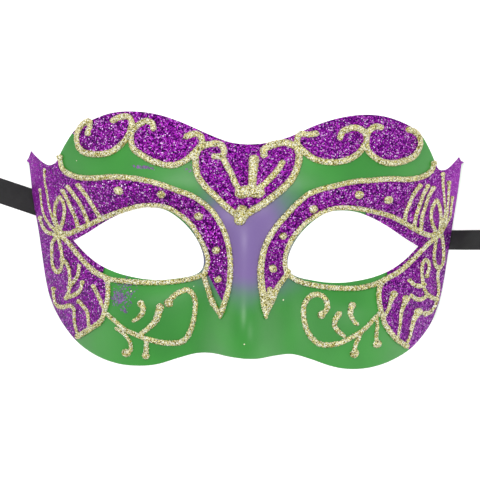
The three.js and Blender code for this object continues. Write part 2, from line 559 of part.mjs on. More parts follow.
addPiece("mask_shell", shell, greenPaint);
for (const { name, outline } of fieldTable) {
  addPiece(name, coatLayer.intersect(prism(outline.map(place))), purpleGlitter);
}
addPiece("gold_top_trim", trimSolid(topTrim, overCoat), goldGlitter);
addPiece("gold_frame_left", trimSolid(frameLeft, overCoat), goldGlitter);
addPiece("gold_frame_right", trimSolid(frameRight, overCoat), goldGlitter);
addPiece("gold_cheek_left", trimSolid(cheekLeft, overShell), goldGlitter);
addPiece("gold_cheek_right", trimSolid(cheekRight, overShell), goldGlitter);
for (const row of commaTable) addPiece(row.name, lineSolid(row, overShell), goldGlitter);
for (const { name, at } of dotTable) {
  addPiece(name, dropSolid(at, dotWide, dotHeight, overCoat), goldGlitter);
}
for (const row of ribbonTable) addPiece(row.name, ribbonSolid(row), blackSatin);

export default group;
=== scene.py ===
import math
import bpy
import numpy as np
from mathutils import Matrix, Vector


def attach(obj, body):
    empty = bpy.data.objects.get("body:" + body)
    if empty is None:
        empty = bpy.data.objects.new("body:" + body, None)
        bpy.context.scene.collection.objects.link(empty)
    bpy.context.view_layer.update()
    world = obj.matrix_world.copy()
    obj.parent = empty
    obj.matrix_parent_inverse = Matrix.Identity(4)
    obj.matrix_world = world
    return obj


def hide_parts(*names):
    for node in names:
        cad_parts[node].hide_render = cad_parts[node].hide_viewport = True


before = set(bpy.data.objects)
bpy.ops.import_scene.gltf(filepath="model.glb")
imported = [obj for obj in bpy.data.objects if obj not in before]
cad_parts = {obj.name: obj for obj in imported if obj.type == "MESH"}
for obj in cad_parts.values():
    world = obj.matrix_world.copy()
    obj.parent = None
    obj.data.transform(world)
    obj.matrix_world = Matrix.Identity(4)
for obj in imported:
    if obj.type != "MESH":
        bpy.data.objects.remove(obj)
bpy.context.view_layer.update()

mm = 0.001

# Camera: straight above the mask, which lies face up

cameraLook = {
    "centre": (-2.45, -0.04, 25),   # what it looks at, in millimetres
    "distance": 9.0,                # metres: so far off that the view is nearly flat
    "frameWidth": 196.4,            # width of the picture at that height, in millimetres
    "roll": 0.0165, "sensor": 36, "clip": (1, 50),
}


def addCamera(look):
    x, y, z = (value * mm for value in look["centre"])
    bpy.ops.object.camera_add(location=(x, y, z + look["distance"]), rotation=(0, 0, look["roll"]))
    camera = bpy.context.object
    camera.name = "photoCamera"
    camera.data.sensor_width = look["sensor"]
    camera.data.lens = look["sensor"] * look["distance"] / (look["frameWidth"] * mm)
    camera.data.clip_start, camera.data.clip_end = look["clip"]
    bpy.context.scene.camera = camera


addCamera(cameraLook)
print("camera set")

# Form of the face, in millimetres: the same named sizes as in the part's source

face = {
    "halfWidth": 90, "halfHeight": 52, "wall": 1.6, "squaresAcross": 220, "squaresUp": 127,
    "depth": 51, "foreheadDrop": 5, "chinDrop": 7, "sideFall": 3,
    "leftReach": 85.14, "leftLean": 9.9, "rightReach": 84.06, "rightLean": 8.46,
    "noseHeight": 21, "bridgeHalf": 8.5, "nostrilHalf": 14.5, "socketDepth": 6, "browHeight": 3,
    "cheekHeight": 3.5,
    # heights on the face, as shares of its half height: where bridge, tip and nostrils start
    "bridgeShare": 0.22, "bridgeTop": 0.3, "tipTop": 0.08, "tipSpan": 0.82, "nostrilTop": 0.1,
    "nostrilSpan": 0.9, "underTop": -0.76, "undercut": 5,
    # middle and half size of each form, as shares of the half width and of the half height
    "socket": ((0.48, 0.33), (-0.05, 0.34)), "brow": ((0.42, 0.34), (0.42, 0.2)),
    "cheek": ((0.56, 0.2), (-0.6, 0.26)),
}


def place(point):
    across, up = point
    return across * face["halfWidth"] / face["squaresAcross"], up * face["halfHeight"] / face["squaresUp"]


def hill(offset, half):
    return np.exp(-(offset / half) ** 2)


def ease(value):
    share = np.clip(value, 0, 1)
    return share * share * (3 - 2 * share)


def noseAt(x, y):
    v = y / face["halfHeight"]
    bridge = face["bridgeShare"] * ease((face["bridgeTop"] - v) / face["bridgeTop"])
    tip = (1 - face["bridgeShare"]) * ease((face["tipTop"] - v) / face["tipSpan"])
    under = np.maximum(0, face["underTop"] - v)
    widening = ease((face["nostrilTop"] - v) / face["nostrilSpan"])
    half = face["bridgeHalf"] + (face["nostrilHalf"] - face["bridgeHalf"]) * widening
    return face["noseHeight"] * (bridge + tip - face["undercut"] * under * under) * hill(x, half)


def rimAt(x, v):
    # how far from the middle the face meets the surface, on the side that x is on
    return np.where(np.asarray(x) < 0, face["leftReach"] + face["leftLean"] * v,
                    face["rightReach"] + face["rightLean"] * v)


def swell(across, v, spot):
    (middleAcross, halfAcross), (middleUp, halfUp) = spot
    return hill(across - middleAcross, halfAcross) * hill(v - middleUp, halfUp)


def faceAt(x, y):
    v = y / face["halfHeight"]
    across = np.abs(x) / face["halfWidth"]
    reach = np.abs(x) / rimAt(x, v)
    lean = face["foreheadDrop"] * np.maximum(0, v) ** 2 + face["chinDrop"] * np.maximum(0, -v) ** 2
    (middleAcross, halfAcross), (middleUp, halfUp) = face["socket"]
    socket = (((across - middleAcross) / halfAcross) ** 2 + ((v - middleUp) / halfUp) ** 2) ** 2
    return ((face["depth"] - lean) * (1 - reach ** face["sideFall"]) + noseAt(x, y)
            - face["socketDepth"] * np.exp(-socket)
            + face["browHeight"] * swell(across, v, face["brow"])
            + face["cheekHeight"] * swell(across, v, face["cheek"]))


def faceNormal(x, y):
    probe = 0.05
    slopeX = (faceAt(x + probe, y) - faceAt(x - probe, y)) / (2 * probe)
    slopeY = (faceAt(x, y + probe) - faceAt(x, y - probe)) / (2 * probe)
    normal = np.stack([-slopeX, -slopeY, np.ones_like(slopeX)], axis=1)
    return normal / np.linalg.norm(normal, axis=1)[:, None]


def lifted(x, y, lift):
    spots = np.stack([x, y, faceAt(x, y)], axis=1)
    return spots + faceNormal(x, y) * lift


# Small tools for meshes

def clearSelection():
    bpy.ops.object.select_all(action="DESELECT")


def pick(piece):
    clearSelection()
    piece.select_set(True)
    bpy.context.view_layer.objects.active = piece


def pointsOf(piece):
    flat = np.empty(len(piece.data.vertices) * 3)
    piece.data.vertices.foreach_get("co", flat)
    return flat.reshape(-1, 3) / mm


def movePoints(piece, points):
    piece.data.vertices.foreach_set("co", (points * mm).ravel())
    piece.data.update()


def applyModifier(piece, kind, **settings):
    pick(piece)
    modifier = piece.modifiers.new(kind.lower(), kind)
    for key, value in settings.items():
        setattr(modifier, key, value)
    bpy.ops.object.modifier_apply(modifier=modifier.name)


def inEditMode(piece, *steps):
    pick(piece)
    bpy.ops.object.mode_set(mode="EDIT")
    bpy.ops.mesh.select_all(action="SELECT")
    for step in steps:
        step()
    bpy.ops.object.mode_set(mode="OBJECT")


def shadeSmooth(piece, degrees):
    pick(piece)
    bpy.ops.object.shade_smooth_by_angle(angle=math.radians(degrees))


def keepAbove(piece, height):
    points = pointsOf(piece)
    points[:, 2] = np.maximum(points[:, 2], height)
    movePoints(piece, points)


def giveMaterials(piece, *materials):
    piece.data.materials.clear()
    for material in materials:
        piece.data.materials.append(material)


def register(piece, node):
    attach(piece, "root")
    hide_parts(node)


# Small tools for materials

def newMaterial(name):
    material = bpy.data.materials.new(name)
    material.use_nodes = True
    tree = material.node_tree
    return material, tree, tree.nodes["Principled BSDF"]


def fillSockets(tree, node, inputs):
    for socket, value in inputs.items():
        if isinstance(value, bpy.types.NodeSocket):
            tree.links.new(value, node.inputs[socket])
        else:
            node.inputs[socket].default_value = value


def addNode(tree, kind, inputs=None, **settings):
    made = tree.nodes.new(kind)
    for key, value in settings.items():
        setattr(made, key, value)
    fillSockets(tree, made, inputs or {})
    return made


def calc(tree, operation, *values):
    return addNode(tree, "ShaderNodeMath", dict(enumerate(values)), operation=operation).outputs[0]


def fade(tree, value, low, high):
    # 0 at low, 1 at high, smooth between
    inputs = {"Value": value, "From Min": low, "From Max": high}
    return addNode(tree, "ShaderNodeMapRange", inputs, interpolation_type="SMOOTHSTEP").outputs[0]


def blendColours(tree, share, first, second):
    made = addNode(tree, "ShaderNodeMix", data_type="RGBA")
    fillSockets(tree, made, {0: share, 6: first, 7: second})
    return made.outputs[2]


def colourRamp(tree, value, stops):
    made = addNode(tree, "ShaderNodeValToRGB", {"Fac": value})
    elements = made.color_ramp.elements
    while len(elements) < len(stops):
        elements.new(0.5)
    for element, (spot, colour) in zip(elements, stops):
        element.position = spot
        element.color = shade(colour)
    return made.outputs["Color"]


def shade(colour):
    # A colour as it is seen on screen, such as "4aa048", made linear
    parts = [int(colour[i:i + 2], 16) / 255 for i in (0, 2, 4)]
    linear = [part / 12.92 if part <= 0.04045 else ((part + 0.055) / 1.055) ** 2.4 for part in parts]
    return (*linear, 1)


def objectPoint(tree):
    return addNode(tree, "ShaderNodeTexCoord").outputs["Object"]


def spotMask(tree, point, centre, reach, soft):
    # 1 inside an upright elliptical column round a point of the plan, 0 outside, in millimetres
    mapped = addNode(tree, "ShaderNodeMapping", {
        "Vector": point, "Location": (-centre[0] / reach[0], -centre[1] / reach[1], 0),
        "Scale": (1000 / reach[0], 1000 / reach[1], 0)})
    length = addNode(tree, "ShaderNodeVectorMath", {0: mapped.outputs[0]}, operation="LENGTH")
    return fade(tree, length.outputs["Value"], 1 + soft, 1 - soft)


# Ribbon ties: the route is the one of the part's source, in millimetres

ribbons = {
    "width": 10, "thickness": 0.45, "columns": 13, "edge": 0.1, "clear": 0.02,
    "wave": 0.06, "waveRate": 0.55, "waveFrom": 6,   # a faint lift of the cloth outside
    "gatherFrom": -6, "gatherOver": 4,               # where along its length it is bunched
    "colour": "08080a", "lighter": "131315", "rib": 0.42, "threads": 1.9,
    "route": [   # out from the rim, up from the surface, share of the twist
        (-11.4, 11.4, 0), (-9.8, 9.3, 0), (-8.2, 7.1, 0), (-6.7, 5, 0), (-5.4, 3.1, 0), (-4.2, 1.75, 0),
        (-2.9, 0.8, 0), (-1.6, 0.35, 0), (0, 0.25, 0), (3, 0.25, 0.5), (6, 0.25, 0.9), (9, 0.25, 1),
        (13, 0.25, 1), (18, 0.25, 1), (24, 0.25, 1), (31, 0.25, 1), (39, 0.25, 1), (47, 0.25, 1),
    ],
    # up: where its middle crosses the rim, in squares of the drawing; angles in degrees; gather: how much
    # of its width is left where it is bunched in the slot
    "ties": [
        {"name": "ribbon_left", "side": -1, "up": 35, "rises": 17.6, "twist": 0, "gather": 1},
        {"name": "ribbon_right", "side": 1, "up": 3.5, "rises": 1, "twist": 31, "gather": 0.8},
    ],
}


def smoothRun(points, perSpan):
    # A smooth line through its points
    points = [np.array(point, float) for point in points]
    run = []
    last = len(points) - 1
    for i in range(last):
        a, b, c, d = points[max(0, i - 1)], points[i], points[i + 1], points[min(last, i + 2)]
        for t in np.arange(perSpan) / perSpan:
            run.append(b + t * (c - a) / 2 + t * t * (3 * (c - b) - (c - a) - (d - b) / 2)
                       + t ** 3 * (2 * (b - c) + (c - a) / 2 + (d - b) / 2))
    run.append(points[-1])
    return np.array(run)


def makeRibbonFinish(look):
    material, tree, shader = newMaterial("blackSatinRibbon")
    uv = addNode(tree, "ShaderNodeUVMap", uv_map="ribbonUv").outputs[0]
    ribs = addNode(tree, "ShaderNodeTexWave", {
        "Vector": uv, "Scale": 1 / look["rib"], "Distortion": 0.4, "Detail": 1.0},
        wave_type="BANDS", bands_direction="Y")
    threads = addNode(tree, "ShaderNodeTexWave", {
        "Vector": uv, "Scale": look["threads"], "Distortion": 0.2},
        wave_type="BANDS", bands_direction="X")
    uneven = addNode(tree, "ShaderNodeTexNoise", {"Vector": uv, "Scale": 0.35, "Detail": 3.0})
    height = calc(tree, "MULTIPLY_ADD", threads.outputs["Fac"], 0.35, ribs.outputs["Fac"])
    bump = addNode(tree, "ShaderNodeBump", {"Height": height, "Strength": 0.35, "Distance": 0.00012})
    tone = blendColours(tree, fade(tree, uneven.outputs["Fac"], 0.3, 0.75), shade(look["colour"]),
                        shade(look["lighter"]))
    fillSockets(tree, shader, {
        "Base Color": tone, "Normal": bump.outputs[0], "Roughness": 0.55, "Sheen Weight": 0.12,
        "Sheen Roughness": 0.4, "Anisotropic": 0.4})
    return material


def ribbonRows(look, tie):
    # Its surface point by point, each one's place on the flat ribbon, and its middle line
    v = tie["up"] / face["squaresUp"]
    start = np.array([tie["side"] * float(rimAt(tie["side"], v)), v * face["halfHeight"]])
    angle = math.radians(tie["rises"])
    out = np.array([tie["side"] * math.cos(angle), math.sin(angle)])
    over = np.array([-out[1], out[0]])
    # the rim leans, so the ribbon's two edges meet it at different lengths
    widening = float(rimAt(tie["side"], 1) - rimAt(tie["side"], 0))
    rim = np.array([tie["side"] * widening / face["halfHeight"], 1])
    skew = -(over[0] * rim[1] - over[1] * rim[0]) / (out[0] * rim[1] - out[1] * rim[0])
    run = smoothRun(look["route"], 4)
    points, uvs, middle = [], [], []
    far = 0.0
    for i, (along, up, share) in enumerate(run):
        twist = math.radians(tie["twist"]) * share
        if i:
            far += float(np.hypot(along - run[i - 1][0], up - run[i - 1][1]))
        bunched = (1 - tie["gather"]) * float(ease((along - look["gatherFrom"]) / look["gatherOver"]))
        narrow = min(math.cos(twist), 1 - bunched)
        for edge in np.linspace(-1, 1, look["columns"]):
            offset = edge * look["width"] / 2
            reach = along + (0 if i == len(run) - 1 else offset * skew)
            spot = start + out * reach + over * offset * narrow
            wave = look["wave"] * math.sin(far * look["waveRate"] + edge) * (1 - edge * edge)
            wave *= min(1, max(0, along / look["waveFrom"]))
            low = max(up + wave, look["thickness"] / 2 + look["clear"])
            points.append((*spot, low + (offset + look["width"] / 2) * math.sin(twist)))
            uvs.append((offset, far))
        middle.append((*(start + out * along), up + look["width"] / 2 * math.sin(twist)))
    return points, uvs, middle


def addRibbon(look, tie, material):
    points, uvs, middle = ribbonRows(look, tie)
    columns = look["columns"]
    quads = [(r * columns + c, r * columns + c + 1, (r + 1) * columns + c + 1, (r + 1) * columns + c)
             for r in range(len(middle) - 1) for c in range(columns - 1)]
    mesh = bpy.data.meshes.new(tie["name"] + "_satin")
    mesh.from_pydata([Vector(point) * mm for point in points], [], quads)
    layer = mesh.uv_layers.new(name="ribbonUv")
    for loop in mesh.loops:
        layer.data[loop.index].uv = uvs[loop.vertex_index]
    ribbon = bpy.data.objects.new(tie["name"] + "_satin", mesh)
    bpy.context.collection.objects.link(ribbon)
    mesh.materials.append(material)
    inEditMode(ribbon, lambda: bpy.ops.mesh.normals_make_consistent(inside=False))
    applyModifier(ribbon, "SOLIDIFY", thickness=look["thickness"] * mm, offset=0.0)
    applyModifier(ribbon, "BEVEL", width=look["edge"] * mm, segments=2, limit_method="ANGLE", angle_limit=1.0)
    keepAbove(ribbon, 0)
    shadeSmooth(ribbon, 50)
    register(ribbon, tie["name"])


ribbonFinish = makeRibbonFinish(ribbons)
for tie in ribbons["ties"]:
    addRibbon(ribbons, tie, ribbonFinish)
print("ribbons laid")

# Outlines of the plan, in squares of the drawing: both halves, each drawn as on the right, from the
# top of the middle round to the nose, and the right eye hole

outlines = {
    "left": [
        [(0, 95.3), (18, 97.3), (40, 105.2), (68, 117), (92, 124.1), (116, 126.5), (138, 124.2),
         (159, 115.8), (172.4, 107.4), (180.8, 95.6), (186.5, 85), (188.4, 80.8)],
        [(188.4, 80.8), (190.8, 75.6), (194.6, 72.6), (198.7, 71.6), (204.5, 74.3), (211.6, 80.3),
         (216.8, 85.8)],
        [(216.8, 85.8), (219.6, 77.8)],
        [(219.6, 77.8), (221.4, 75.8)],
        [(221.4, 75.8), (218.8, 73.6)],
        [(218.8, 73.6), (216.7, 58), (214, 36.5), (208.4, 8), (204.2, -18), (199.9, -43), (194.9, -62),
         (184.4, -83.3), (167.4, -104.4), (147, -118.3), (125, -125.7), (104, -127.2), (86, -125.2),
         (66, -118.8), (48, -113.7), (32, -113.2), (14, -116.6), (0, -118.3)],
    ],
    "right": [
        [(0, 95.3), (18, 97), (40.6, 103.2), (68.4, 115.8), (92, 123.4), (116, 127), (138, 125.3),
         (160, 117.7), (173.2, 108.2), (181, 96), (186, 85.6), (189.3, 77.8)],
        [(189.3, 77.8), (190.8, 75), (194, 73), (199, 73.8), (203, 76.6), (207.6, 81.6), (212.2, 86.9)],
        [(212.2, 86.9), (214.2, 83)],
        [(214.2, 83), (217.4, 81.4)],
        [(217.4, 81.4), (214.8, 79.6)],
        [(214.8, 79.6), (212.4, 58), (209.6, 36.9), (205.4, 8), (201.8, -18), (198.1, -42.8),
         (193.8, -61.7), (184.8, -83.5), (167.8, -104.7), (147, -118.2), (125, -125.5), (104, -127),
         (86, -124.1), (66, -117.5), (48, -113), (32, -114.5), (14, -118), (0, -118.3)],
    ],
    "eye": [
        (172.5, -3.5), (158, 5), (142, 15.5), (126, 24), (110, 29.7), (94, 31), (80, 28.3), (66, 19.4),
        (54, 7), (46, -6), (42, -19), (43.5, -30), (52, -36), (66, -39), (82, -41), (98, -40.8), (114, -38.4),
        (130, -34.2), (146, -27), (160, -16.5), (172.5, -3.5),
    ],
    "step": 0.9,                     # between points of an outline, in millimetres
    "around": (-92, -54, 92, 54),    # a box of the plan round the whole mask, in millimetres
}


def evenly(points, step):
    gaps = np.linalg.norm(np.diff(points, axis=0), axis=1)
    along = np.concatenate([[0], np.cumsum(gaps)])
    count = max(1, round(along[-1] / step))
    spots = np.linspace(0, along[-1], count + 1)
    return np.stack([np.interp(spots, along, points[:, k]) for k in (0, 1)], axis=1)


def stretchPoints(stretch, step):
    knots = [place(point) for point in stretch]
    return evenly(smoothRun(knots, 14), step)[:-1]


def edgeOutline():
    left, right = (np.concatenate([stretchPoints(stretch, outlines["step"]) for stretch in outlines[side]])
                   for side in ("left", "right"))
    nose = np.array([place(outlines["right"][-1][-1])])
    return np.concatenate([right, nose, left[:0:-1] * [-1, 1]])


def eyeOutline(side):
    return stretchPoints(outlines["eye"], outlines["step"]) * [side, 1]


def makeCutter(name, rings):
    # An upright block with these outlines, taken from a flat curve
    flat = bpy.data.curves.new(name, "CURVE")
    flat.dimensions, flat.fill_mode, flat.extrude = "2D", "BOTH", 0.06
    for ring in rings:
        spline = flat.splines.new("POLY")
        spline.points.add(len(ring) - 1)
        for point, (x, y) in zip(spline.points, ring):
            point.co = (x * mm, y * mm, 0, 1)
        spline.use_cyclic_u = True
    cutter = bpy.data.objects.new(name, flat)
    bpy.context.collection.objects.link(cutter)
    pick(cutter)
    bpy.ops.object.convert(target="MESH")
    cutter = bpy.context.object
    movePoints(cutter, pointsOf(cutter) + [0, 0, 50])
    inEditMode(cutter, lambda: bpy.ops.mesh.remove_doubles(threshold=1e-7),
               lambda: bpy.ops.mesh.normals_make_consistent(inside=False))
    return cutter


def keepInside(piece, cutter, operation="INTERSECT"):
    applyModifier(piece, "BOOLEAN", object=cutter, operation=operation, solver="EXACT")


def dropObject(piece):
    bpy.data.objects.remove(piece, do_unlink=True)


def makeSheet(name, box, cell, lift, thickness):
    # A closed sheet of the face over a box of the plan, from a grid
    low, high = np.array(box[:2], float), np.array(box[2:], float)
    columns, rows = (int(np.ceil(size / cell)) for size in high - low)
    clearSelection()
    bpy.ops.mesh.primitive_grid_add(x_subdivisions=columns, y_subdivisions=rows, size=2)
    sheet = bpy.context.object
    sheet.name = name
    points = pointsOf(sheet) * mm
    x = low[0] + (points[:, 0] + 1) / 2 * (high[0] - low[0])
    y = low[1] + (points[:, 1] + 1) / 2 * (high[1] - low[1])
    movePoints(sheet, lifted(x, y, lift))
    applyModifier(sheet, "SOLIDIFY", thickness=thickness * mm, offset=-1.0, use_even_offset=True)
    return sheet


def cutAtSurface(piece):
    inEditMode(piece, lambda: bpy.ops.mesh.bisect(
        plane_co=(0, 0, 0), plane_no=(0, 0, 1), use_fill=True, clear_inner=True))


# Shell

shell = {
    "cell": 1.25, "archHeight": 1.9, "archLength": 14, "archBevel": 0.4, "seat": 0.3, "merge": 0.2,
    "bevel": 0.3, "paintDepth": 0.6,
    "green": "2f932b", "deepGreen": "258324", "lilac": "745c98", "rim": "86bf86", "inside": "e9e9e6",
    "insideLight": "f3f2ee", "speck": "efe9c8", "flakes": ("43305e", "8a62a4"),
    "lilacSpot": ((0.3, 0), (21.5, 22.3)),   # middle and reach, in millimetres
    # stray purple flakes on the left cheek and under the second curl: middle, reach and how dense
    "smudges": [
        ((-50, -23), (4.6, 4), 0.3), ((-52.2, -25.2), (2.7, 2.6), 0.8), ((-51, -29.5), (1.2, 1.6), 0.7),
        ((-41.5, 31), (4.6, 1), 0.75), ((-21, 30.5), (4, 1.5), 0.3),
    ],
}

planCutter = makeCutter("planCutter", [edgeOutline(), eyeOutline(1), eyeOutline(-1)])


def makePaint(look):
    material, tree, shader = newMaterial("greenPaint")
    point = objectPoint(tree)
    cloud = addNode(tree, "ShaderNodeTexNoise", {"Vector": point, "Scale": 55.0, "Detail": 3.0})
    stray = addNode(tree, "ShaderNodeVectorMath", {
        0: cloud.outputs["Color"], 1: (0.5, 0.5, 0.5)}, operation="SUBTRACT")
    nudged = addNode(tree, "ShaderNodeVectorMath", {
        0: stray.outputs[0], 1: (0.012, 0.012, 0), 2: point}, operation="MULTIPLY_ADD").outputs[0]
    lilac = spotMask(tree, nudged, *look["lilacSpot"], 0.45)
    patchy = addNode(tree, "ShaderNodeTexNoise", {"Vector": point, "Scale": 28.0, "Detail": 2.0})
    green = blendColours(tree, fade(tree, patchy.outputs["Fac"], 0.35, 0.7), shade(look["deepGreen"]),
                         shade(look["green"]))
    colour = blendColours(tree, lilac, green, shade(look["lilac"]))
    flakes = addNode(tree, "ShaderNodeTexVoronoi", {"Vector": point, "Scale": 1900.0})
    toss = addNode(tree, "ShaderNodeSeparateColor", {0: flakes.outputs["Color"]})
    tone = blendColours(tree, toss.outputs[1], *(shade(flake) for flake in look["flakes"]))
    for centre, reach, most in look["smudges"]:
        dense = calc(tree, "MULTIPLY", spotMask(tree, nudged, centre, reach, 0.5), most)
        colour = blendColours(tree, calc(tree, "LESS_THAN", toss.outputs[0], dense), colour, tone)
    specks = addNode(tree, "ShaderNodeTexVoronoi", {"Vector": point, "Scale": 900.0})
    chance = addNode(tree, "ShaderNodeSeparateColor", {0: specks.outputs["Color"]})
    rare = calc(tree, "GREATER_THAN", chance.outputs[0], 0.9985)
    small = calc(tree, "LESS_THAN", specks.outputs["Distance"], 0.3)
    colour = blendColours(tree, calc(tree, "MULTIPLY", rare, small), colour, shade(look["speck"]))
    peel = addNode(tree, "ShaderNodeTexNoise", {"Vector": point, "Scale": 420.0, "Detail": 3.0})
    bump = addNode(tree, "ShaderNodeBump", {
        "Height": peel.outputs["Fac"], "Strength": 0.12, "Distance": 0.0004})
    fillSockets(tree, shader, {
        "Base Color": colour, "Normal": bump.outputs[0], "Coat Weight": 0.35, "Coat Roughness": 0.4,
        "Roughness": fade(tree, cloud.outputs["Fac"], -0.9, 2.0)})
    return material


def makeRim(look):
    # paint thin on the trimmed edge, with the white plastic showing through
    material, tree, shader = newMaterial("trimmedEdge")
    point = objectPoint(tree)
    wearSheenAndShade = addNode(tree, "ShaderNodeTexNoise", {"Vector": point, "Scale": 260.0, "Detail": 3.0})
    colour = blendColours(tree, fade(tree, wearSheenAndShade.outputs["Fac"], 0.4, 0.62), shade(look["green"]),
                          shade(look["rim"]))
    fillSockets(tree, shader, {"Base Color": colour, "Roughness": 0.4})
    return material


def makeInside(look):
    material, tree, shader = newMaterial("barePlastic")
    point = objectPoint(tree)
    grain = addNode(tree, "ShaderNodeTexNoise", {"Vector": point, "Scale": 700.0, "Detail": 2.0})
    tint = addNode(tree, "ShaderNodeTexNoise", {"Vector": point, "Scale": 30.0, "Detail": 2.0})
    bump = addNode(tree, "ShaderNodeBump", {
        "Height": grain.outputs["Fac"], "Strength": 0.15, "Distance": 0.0003})
    colour = blendColours(tree, tint.outputs["Fac"], shade(look["inside"]), shade(look["insideLight"]))
    fillSockets(tree, shader, {"Base Color": colour, "Normal": bump.outputs[0], "Roughness": 0.5})
    return material


def cutArches(piece, look):
    # the relief in the rim that each ribbon passes under
    size = (look["archLength"], ribbons["width"] + 4 * look["seat"], 2 * look["archHeight"])
    for tie in ribbons["ties"]:
        v = tie["up"] / face["squaresUp"]
        x, y = tie["side"] * float(rimAt(tie["side"], v)), v * face["halfHeight"]
        turn = math.radians(tie["rises"]) * tie["side"]
        clearSelection()
        bpy.ops.mesh.primitive_cube_add(size=1)
        block = bpy.context.object
        along, across, up = (pointsOf(block) * mm * size).T
        movePoints(block, np.stack([along * math.cos(turn) - across * math.sin(turn) + x,
                                    along * math.sin(turn) + across * math.cos(turn) + y, up], axis=1))
        inEditMode(block, lambda: bpy.ops.mesh.bevel(
            offset=look["archBevel"] * mm, segments=3, affect="EDGES"))
        keepInside(piece, block, "DIFFERENCE")
        dropObject(block)


def addShell(look):
    piece = makeSheet("maskShell", outlines["around"], look["cell"], 0, face["wall"])
    keepInside(piece, planCutter)
    cutAtSurface(piece)
    cutArches(piece, look)
    giveMaterials(piece, makePaint(look), makeInside(look), makeRim(look))
    for polygon in piece.data.polygons:
        x, y, z = (value / mm for value in polygon.center)
        under = float(faceAt(np.array([x]), np.array([y]))[0]) - z
        polygon.material_index = 1 if polygon.normal.z < -0.05 and under > look["paintDepth"] else 0
    inEditMode(piece, lambda: bpy.ops.mesh.remove_doubles(threshold=look["merge"] * mm))
    applyModifier(piece, "BEVEL", width=look["bevel"] * mm, segments=2, limit_method="ANGLE",
                  angle_limit=math.radians(50), material=2)
    keepAbove(piece, 0)
    shadeSmooth(piece, 35)
    register(piece, "mask_shell")
    print("shell made of", len(piece.data.polygons), "faces")


addShell(shell)

# Glitter fields: closed outlines in squares of the drawing, cut by the mask's edge and eye holes

fields = {
    "cell": 0.8, "lift": 0.5, "thickness": 0.42,
    "glitter_band_top": [
        (-190, 104), (-175, 104), (-171, 98), (-168, 89), (-161, 84.5), (-150, 83), (-137, 85), (-127, 92),
        (-118, 98), (-113, 89), (-104, 82), (-92, 76), (-80, 73), (-70, 74), (-60, 79), (-53, 84), (-51, 70),
        (-48, 61), (-41, 52), (-30, 42), (-6, 21), (19, 38), (36, 52), (45, 62), (50, 74), (52, 92),
        (56, 89.5), (66, 82), (78, 79), (90, 79), (101, 82), (110, 88), (118, 97), (120, 91), (126, 85),
        (134, 80.5), (144, 79), (156, 81.5), (165, 86), (170, 92.5), (172.5, 100), (174, 108), (190, 108),
        (170, 140), (-170, 140),
    ],
    "glitter_field_left": [
        (-188, 83), (-187, 75), (-184, 68), (-177, 63), (-165, 59.5), (-150, 59.5), (-135, 60.7), (-118, 60),
        (-103, 58), (-86, 54), (-70, 48.5), (-55, 43.5), (-43, 36), (-33, 27), (-25, 15), (-19, 1.5),
        (-15.5, -14), (-14.5, -32), (-16, -50), (-20, -61), (-23.5, -60), (-28, -52), (-32, -44.5),
        (-36, -37), (-41.5, -33), (-37, -23), (-39, -13), (-45, 0), (-54, 14), (-66, 25), (-79, 32),
        (-92, 34), (-104, 32.7), (-108, 12), (-130, -10), (-141, -27), (-143, -38), (-139, -41),
        (-136.5, -50), (-136.5, -60), (-139, -72), (-143, -83), (-155, -92), (-168, -101), (-175, -112),
        (-230, -60), (-230, 100), (-195, 90),
    ],
    "glitter_field_right": [
        (187, 82), (185, 75), (180, 69), (171, 65), (158, 63), (143, 63.4), (125, 61.5), (107, 59.8),
        (90, 56), (75, 52), (62, 47), (50, 37), (38.5, 24.5), (29, 13), (20.5, -1.5), (16.5, -14),
        (14.5, -30), (15, -46), (18, -60), (21.5, -76), (24, -66), (27, -57), (31, -47), (37.5, -37.5),
        (40.5, -31), (39.5, -20), (41, -10), (45.5, 0), (52.5, 10), (62, 20), (74, 28), (85, 32.5),
        (97, 34), (110, 33.5), (119, 32), (121, 8), (134, -10), (140, -25), (143, -36),
        (138, -38.5), (133.5, -47), (133, -56), (135, -67), (140, -82), (150, -96), (163, -105),
        (175, -112), (230, -60), (230, 100), (195, 90),
    ],
    "flake": 0.46, "tilt": 1.0, "metal": 0.55, "contrast": 1.03,
    "stops": [(0.0, "24033a"), (0.26, "560870"), (0.56, "9414a4"), (0.82, "c23cce"), (0.95, "da80e8"),
              (1.0, "f6d2fc")],
    "wearSheenAndShade": {"colour": "a030b0", "paintedShade": "700c88", "shadeAmount": 0.3},   # its look on the steep sides: painted sheen where the coat thins, and painted shade
}


glitterCoat = {   # where the coat thins, with its painted sheen, and where painted shade falls: by how much of the normal points up, and by height in metres
    "shadeSlope": (0.78, 0.52), "thinAndSheenSlope": (0.64, 0.5), "thinAndSheenHeight": (0.004, 0.016),
}


